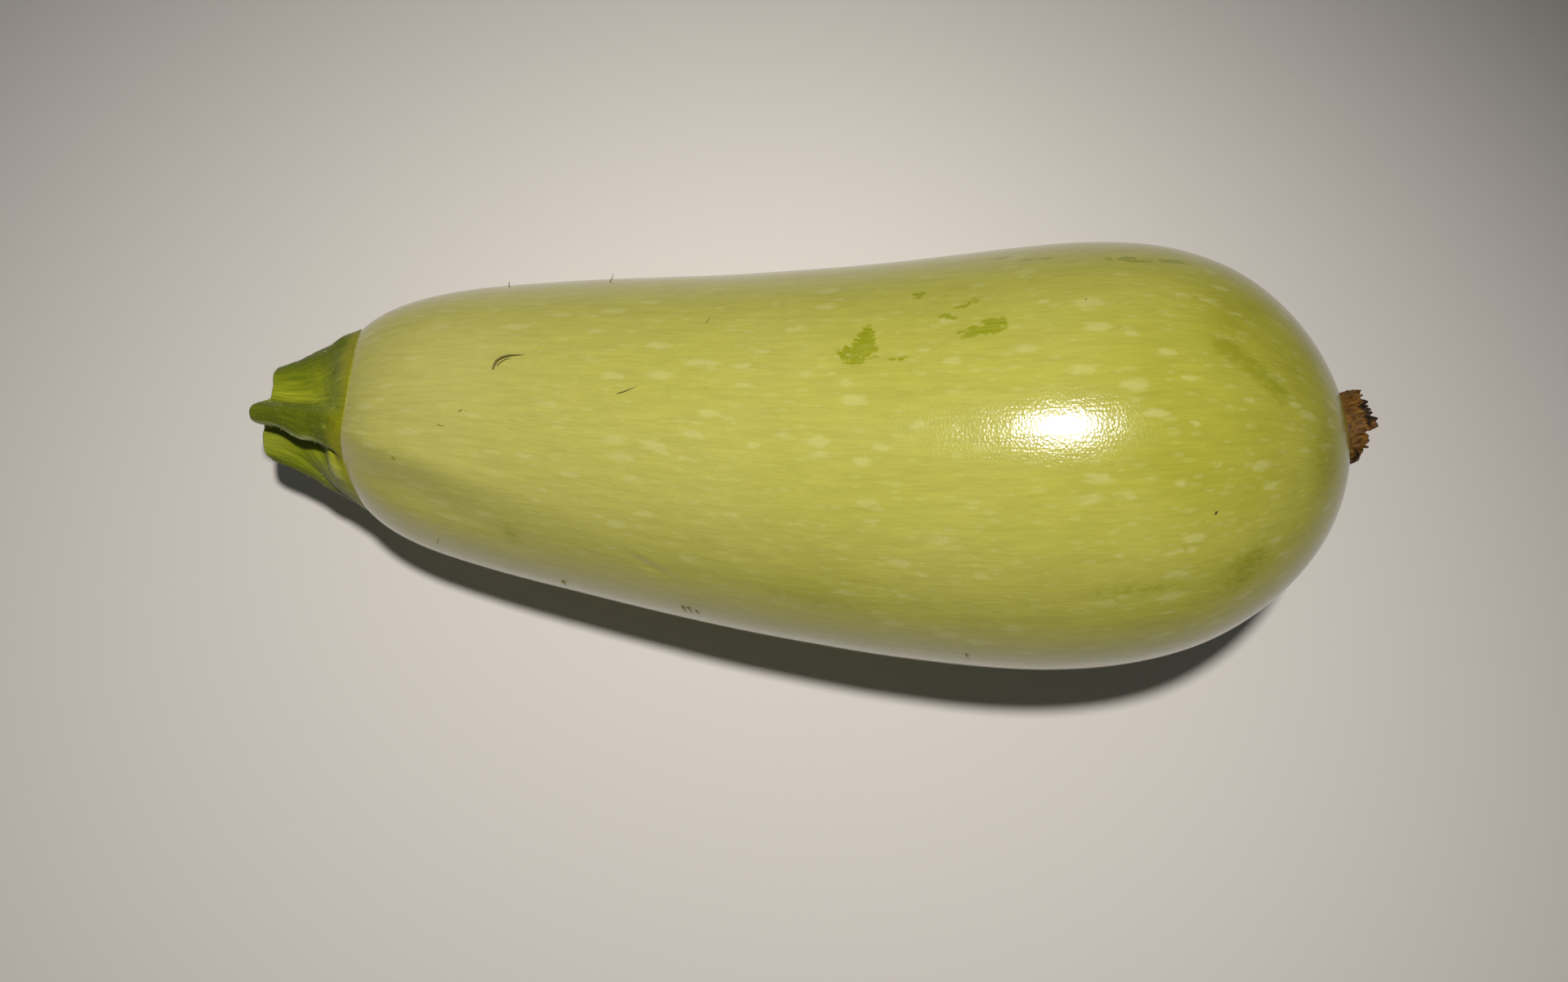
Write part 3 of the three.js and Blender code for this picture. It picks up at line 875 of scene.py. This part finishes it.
def stem_hair_tree():
    tree, size, result = new_tree("stem hairs", stem_hair_sizes)

    def field(name):
        return put(tree, "GeometryNodeInputNamedAttribute", {"Name": name}).outputs["Attribute"]

    on_side = calc(tree, "SUBTRACT", 1.0, field("cut"))
    thick = calc(tree, "ADD", calc(tree, "MULTIPLY", field("crest"), 0.85), 0.15)
    clear = put(tree, "ShaderNodeMapRange", {0: field("run"), 1: 0.03, 2: 0.08}).outputs[0]
    roots = put(tree, "GeometryNodeDistributePointsOnFaces", {
        "Mesh": given_geometry(tree),
        "Density": calc(tree, "MULTIPLY", on_side, thick, clear, size["Hairs to a square metre"]),
        "Seed": size["Seed"],
    })
    hair = put(tree, "GeometryNodeMeshCone", {
        "Vertices": 5, "Radius Bottom": size["Thickness"], "Radius Top": 0.0, "Depth": 1.0,
    })
    tilt = put(tree, "FunctionNodeRandomValue", {
        0: (-0.45, -0.45, 0.0), 1: (0.45, 0.45, math.tau), "Seed": 2,
    }, data_type="FLOAT_VECTOR")
    turned = put(tree, "FunctionNodeRotateRotation", {
        0: roots.outputs["Rotation"], 1: tilt.outputs[0],
    }, rotation_space="LOCAL")
    grown = put(tree, "FunctionNodeRandomValue", {
        2: size["Shortest"], 3: size["Longest"], "Seed": 3,
    }, data_type="FLOAT")
    stretched = put(tree, "ShaderNodeCombineXYZ", {0: 1.0, 1: 1.0, 2: grown.outputs[1]})
    planted = put(tree, "GeometryNodeInstanceOnPoints", {
        "Points": roots.outputs["Points"], "Instance": hair.outputs["Mesh"],
        "Rotation": turned.outputs[0], "Scale": stretched.outputs[0],
    })
    real = put(tree, "GeometryNodeRealizeInstances", {0: planted.outputs[0]})
    named = put(tree, "GeometryNodeSetMaterial", {0: real.outputs[0], "Material": size["Hair"]})
    tree.links.new(named.outputs[0], result[0])
    return tree


def given_geometry(tree):
    """What the tree starts from."""
    return next(node for node in tree.nodes if node.type == "GROUP_INPUT").outputs["Geometry"]


stem_hairs = grow("stem_hairs", stem.data.copy(), stem_hair_tree(), stem_hair_sizes)
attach(stem_hairs, "root")

# ---- The bristles on the skin ----
# A few fine plant hairs lie on the neck and stand at its edge, left from the young fruit. One is
# long, dark and curved. Each is a thin tapered thread with its root in the skin.

# Each bristle: its points, as the share of the length, the degrees from the top towards +Y, and
# the height over the skin in millimetres; then its half thickness in millimetres.
bristles = [
    ([(0.2075, 20.5, 0.0), (0.2085, 22.5, 0.5), (0.213, 24.8, 0.75), (0.224, 26.0, 0.6),
      (0.238, 26.4, 0.1)], 0.19),
    ([(0.211, 22.0, 0.05), (0.217, 24.2, 0.25), (0.225, 25.0, 0.15)], 0.12),
    ([(0.329, 14.0, 0.0), (0.337, 14.8, 0.35), (0.348, 16.9, 0.1)], 0.09),
    ([(0.372, -63.0, 0.0), (0.377, -66.5, 0.4)], 0.13),
    ([(0.378, -62.5, 0.0), (0.383, -66.0, 0.45)], 0.12),
    ([(0.385, -64.0, 0.0), (0.389, -67.0, 0.3)], 0.10),
    ([(0.251, -66.0, 0.0), (0.256, -68.5, 0.4)], 0.14),
    ([(0.640, -64.0, 0.0), (0.644, -66.5, 0.35)], 0.10),
    ([(0.192, 73.0, 0.0), (0.190, 76.0, 1.0)], 0.10),
    ([(0.297, 70.0, 0.0), (0.300, 72.0, 1.0), (0.298, 73.0, 1.4)], 0.09),
    ([(0.176, 4.0, 0.0), (0.181, 5.0, 0.3)], 0.07),
    ([(0.154, -1.4, 0.05), (0.158, -1.9, 0.12), (0.163, -1.6, 0.05)], 0.06),
    ([(0.405, 40.0, 0.0), (0.409, 41.5, 0.4)], 0.07),
    ([(0.150, 128.0, 0.0), (0.156, 131.0, 0.9)], 0.09),
    ([(0.240, -131.0, 0.0), (0.247, -129.0, 0.8)], 0.09),
    ([(0.130, -58.0, 0.0), (0.128, -60.0, 0.8)], 0.08),
]
bristle_sizes = {
    "Sides": ("Int", 6),
    "Bristle": ("Material", hair_material("bristle", (0.17, 0.15, 0.035))),
}


def on_skin(where, degrees, height):
    """A point over the skin: its share of the length, degrees from the top, and height."""
    spot, normal, _ = skin_beside(where * length, math.radians(degrees))
    return spot + normal * height


def bristle_tree():
    tree, size, result = new_tree("bristles", bristle_sizes)
    path = put(tree, "GeometryNodeMeshToCurve", {0: given_geometry(tree)})
    fine = put(tree, "GeometryNodeResampleCurve", {0: path.outputs[0], "Count": 14})
    thickness = put(tree, "GeometryNodeInputNamedAttribute", {"Name": "thickness"})
    along = put(tree, "GeometryNodeSplineParameter").outputs["Factor"]
    taper = calc(tree, "SUBTRACT", 1.02, calc(tree, "POWER", along, 2.0))
    ring = put(tree, "GeometryNodeCurvePrimitiveCircle", {
        "Resolution": size["Sides"], "Radius": 1.0,
    })
    thread = put(tree, "GeometryNodeCurveToMesh", {
        "Curve": fine.outputs[0], "Profile Curve": ring.outputs[0], "Fill Caps": True,
        "Scale": calc(tree, "MULTIPLY", thickness.outputs["Attribute"], taper),
    })
    smooth = put(tree, "GeometryNodeSetShadeSmooth", {0: thread.outputs[0]})
    named = put(tree, "GeometryNodeSetMaterial", {
        0: smooth.outputs[0], "Material": size["Bristle"],
    })
    tree.links.new(named.outputs[0], result[0])
    return tree


threads, links, thicknesses = [], [], []
for path, half in bristles:
    knots = np.array([on_skin(where, degrees, height * mm) for where, degrees, height in path])
    steps_on = np.linspace(0, len(knots) - 1, 12)
    points = np.stack([np.interp(steps_on, range(len(knots)), side) for side in knots.T], 1)
    for _ in range(6):
        points[1:-1] = (points[:-2] + points[2:] + 2 * points[1:-1]) / 4
    links += [(len(threads) + i, len(threads) + i + 1) for i in range(len(points) - 1)]
    threads += points.tolist()
    thicknesses += [half * mm] * len(points)
paths = bpy.data.meshes.new("bristle paths")
paths.from_pydata(threads, links, [])
field = paths.attributes.new("thickness", "FLOAT", "POINT")
field.data.foreach_set("value", thicknesses)
bristle_threads = grow("skin_bristles", paths, bristle_tree(), bristle_sizes)
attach(bristle_threads, "root")

# ---- The dried flower ----
# What is left of the blossom: a wrinkled brown ring grown on the fruit's end, with torn, curled
# scraps of dry petal standing on it. It is thin, brittle and papery.

flower_radius = 6.0 * mm
flower_offset = 4.3 * mm  # its middle lies this far towards +Y of the fruit's own end
flower_lean = math.radians(7)  # and it faces a little that way
scrap_thickness = 0.28 * mm
scrap_rows, scrap_columns = 26, 18

dry_brown = (0.088, 0.034, 0.004)
# The tan is also the painted highlight on raised folds, and the dark also the painted shade in
# creases.
dry_tan_and_highlight = (0.205, 0.098, 0.015)
dry_dark_and_shade = (0.016, 0.007, 0.003)

# Each scrap: degrees round the ring from the top towards +Y, the distance from its middle, the
# width and the height, how far the tip leans out and turns sideways, all in millimetres, how
# narrow its tip is, and how dark.
scraps = [
    (76, 6.2, 3.4, 3.9, 0.1, -0.5, 0.55, 0.5),
    (52, 6.1, 3.0, 3.5, 0.3, 0.0, 0.8, 0.3),
    (32, 6.0, 3.0, 4.1, 0.2, 0.2, 0.75, 1.1),
    (12, 5.8, 2.2, 4.7, 0.3, 0.1, 0.9, 1.2),
    (-1, 6.1, 2.8, 5.0, 0.1, 0.3, 0.4, 0.5),
    (-19, 6.2, 3.8, 3.2, 0.3, 0.0, 0.9, 0.15),
    (-41, 6.1, 2.8, 1.7, 0.6, -0.2, 0.6, 1.0),
    (-64, 6.3, 2.6, 0.7, 0.2, 0.0, 0.6, 0.8),
    (-95, 6.2, 3.0, 0.6, 0.4, 0.0, 0.5, 0.6),
    (-125, 6.1, 3.2, 1.3, 0.3, 0.4, 0.6, 0.7),
    (-155, 6.2, 3.0, 2.9, 0.2, 0.0, 0.7, 0.4),
    (178, 6.1, 3.4, 4.2, 0.6, -0.3, 0.4, 0.8),
    (150, 6.0, 3.0, 3.6, 0.3, 0.0, 0.7, 0.3),
    (122, 6.2, 3.2, 3.9, 0.4, 0.3, 0.5, 0.9),
    (98, 6.1, 2.8, 3.0, 0.2, 0.0, 0.8, 0.4),
    (60, 4.6, 3.0, 2.9, -0.3, 0.2, 0.5, 0.5),
    (20, 4.5, 3.2, 3.9, -0.4, -0.3, 0.4, 0.7),
    (-25, 4.6, 2.8, 2.4, -0.3, 0.0, 0.6, 0.4),
    (-80, 4.4, 2.8, 1.8, -0.4, 0.2, 0.5, 0.6),
    (-140, 4.6, 3.0, 2.6, -0.3, 0.0, 0.6, 0.5),
    (160, 4.5, 2.8, 3.4, -0.2, 0.3, 0.4, 0.6),
    (110, 4.6, 3.0, 2.6, -0.4, 0.0, 0.7, 0.4),
]


def in_flower(points):
    """Points given out from the ring's middle, up and across it, moved to where it grew."""
    out, aside, up = points.T
    x = out * math.cos(flower_lean) - aside * math.sin(flower_lean)
    y = out * math.sin(flower_lean) + aside * math.cos(flower_lean)
    return lay_down(np.stack([x + length, y + flower_offset, up], 1)) + [0, bow[-1] * length, 0]


def flower_material():
    """Dry petal: brown with tan blotches, a painted tan highlight on the raised folds, near black
    at the charred tips and as painted shade in the creases.
    """
    material, tree, shader = new_material(
        "dried petal", dry_brown, Roughness=0.6, Specular_IOR_Level=0.25, Subsurface_Weight=0.1,
        Subsurface_Radius=(0.8, 0.4, 0.15), Subsurface_Scale=mm,
    )
    place = own(tree, "lengthwise", "Vector")
    blotch = cloud(tree, place, 1 / (1.6 * mm), 4.0)
    veins = group(tree, grain, place=place, across=0.3 * mm, stretch=6.0)
    colour = between(tree, ramp(tree, blotch, 0.42, 0.62), dry_brown, dry_tan_and_highlight)
    # The raised folds are painted a lighter tan, as highlight.
    colour = between(tree, scaled(tree, own(tree, "fold_painted_highlight"), 0.75), colour, dry_tan_and_highlight)
    # Near black at the charred tips and edges, and as painted shade in the creases and the disc's
    # hollow middle.
    dark = calc(tree, "ADD", own(tree, "dark"), scaled(tree, blotch, 0.5, -0.25))
    colour = between(tree, ramp(tree, dark, 0.25, 0.8, 0.0, 0.97), colour, dry_dark_and_shade)
    veined = brightened(tree, colour, scaled(tree, veins, 0.6, 0.58))
    tree.links.new(veined, shader.inputs["Base Color"])
    surface = bumped(tree, veins, 0.04 * mm)
    surface = bumped(tree, blotch, 0.25 * mm, surface)
    tree.links.new(surface, shader.inputs["Normal"])
    tree.links.new(ramp(tree, blotch, 0.35, 0.65, 0.5, 0.8), shader.inputs["Roughness"])
    return material


def sheet(rows, columns):
    """Two values for each point of a grid, in rows: how far up it is, and how far across."""
    up, across = np.meshgrid(rows, columns, indexing="ij")
    return up.ravel(), across.ravel()


def sheet_faces(first, rows, columns):
    """The faces of a grid of points, in rows, that starts at this point."""
    return [
        (first + row * columns + i, first + row * columns + i + 1,
         first + (row + 1) * columns + i + 1, first + (row + 1) * columns + i)
        for row in range(rows - 1) for i in range(columns - 1)
    ]


chance = random.Random(11)
petal_points, petal_faces, petal_place, petal_fold_highlight, petal_dark_and_painted_shade = [], [], [], [], []
for degrees, middle_reach, wide, high, outward, sideways, narrow, dark in scraps:
    up, aside = sheet(np.linspace(0, 1, scrap_rows), np.linspace(-1, 1, scrap_columns))
    seed = chance.uniform(0, 90)
    # The top is torn: its height changes from column to column, and a notch or two runs down.
    along_top = np.stack([aside * wide * mm, 0 * up, 0 * up], 1)
    torn = wrinkle(along_top, 1.5 * mm, seed)
    torn_fine = wrinkle(along_top, 0.35 * mm, seed + 7)
    tall = high * (1.03 - 0.12 * aside**4 + 0.24 * torn + 0.04 * torn_fine)
    half = wide / 2 * (1 - (1 - narrow) * np.clip(up * 1.15 - 0.15, 0, 1) ** 1.3)
    at = np.stack([up * high * mm, aside * half * mm, 0 * up], 1)
    crumple = 1 - 3.2 * np.abs(wrinkle(at * [0.8, 1, 1], 1.1 * mm, seed + 20))
    crease = wrinkle(at, 0.4 * mm, seed + 40)
    folds = 0.5 * crumple + 0.11 * crease
    curl = outward * up**2 + 0.5 * folds * np.clip(up * 4, 0.2, 1) + 0.3 * up**3
    reach = (middle_reach + curl) * mm
    swing = math.radians(degrees) + (aside * half + sideways * up**2) / middle_reach
    swing += 0.05 * wrinkle(at, 1.5 * mm, seed + 60)
    out = (up * tall - 1.3) * mm
    first = sum(map(len, petal_points))
    petal_points.append(in_flower(np.stack([out, reach * np.sin(swing), reach * np.cos(swing)], 1)))
    petal_faces += sheet_faces(first, scrap_rows, scrap_columns)
    petal_place.append(np.stack([out, swing * flower_radius, reach], 1))
    # A painted tan highlight on the raised folds; dark at the charred tip and edges, with painted
    # shade in the creases.
    petal_fold_highlight.append(np.clip(folds * 1.6, 0, 1))
    edge = np.maximum(up**4, 0.7 * np.abs(aside) ** 6 * up)
    petal_dark_and_painted_shade.append(np.clip(edge * dark * 1.1 + np.clip(0.1 - folds, 0, 1) * 0.9, 0, 1))

# Between the scraps the ring itself is a low wrinkled disc, hollow in its middle.
disc_rings, disc_spokes = 30, 150
disc_turns = np.arange(disc_spokes + 1) * math.tau / disc_spokes
out_to, around_disc = sheet(np.linspace(0, 1, disc_rings), disc_turns)
spread = out_to * (flower_radius + 0.5 * mm)
disc = np.stack([0 * spread, spread * np.sin(around_disc), spread * np.cos(around_disc)], 1)
folds = 0.6 * wrinkle(disc, 1.4 * mm, 71) + 0.35 * wrinkle(disc, 0.55 * mm, 72)
rim = mound(out_to, 0.8, 0.2) * 1.5 - 2.4 * np.clip(out_to * 7.7 - 6.7, 0, 1) ** 2
disc[:, 0] = (rim + 0.2 + folds * (1.1 - out_to**6)) * mm
petal_faces += sheet_faces(sum(map(len, petal_points)), disc_rings, disc_spokes + 1)
petal_points.append(in_flower(disc))
petal_place.append(disc)
# A painted highlight on the disc's raised folds, and painted shade in its creases and towards its
# hollow middle.
petal_fold_highlight.append(np.clip(folds * 1.4, 0, 1))
petal_dark_and_painted_shade.append(np.clip(0.35 - 0.4 * out_to - folds * 0.6, 0, 1))

petal_mesh = bpy.data.meshes.new("dried_petals")
petal_mesh.from_pydata(np.concatenate(petal_points).tolist(), [], petal_faces)
petal_mesh.shade_smooth()
petals = stand("dried_petals", petal_mesh)
write(petals, "lengthwise", np.concatenate(petal_place))
write(petals, "fold_painted_highlight", np.concatenate(petal_fold_highlight))
write(petals, "dark", np.concatenate(petal_dark_and_painted_shade))
petal_mesh.materials.append(flower_material())
# The disc's seam and its middle are closed before the sheets get their thickness.
petals.modifiers.new("seams", "WELD").merge_threshold = 1e-6
wall = petals.modifiers.new("wall", "SOLIDIFY")
wall.thickness = scrap_thickness
wall.offset = 0
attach(petals, "root")
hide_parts("dried_flower")
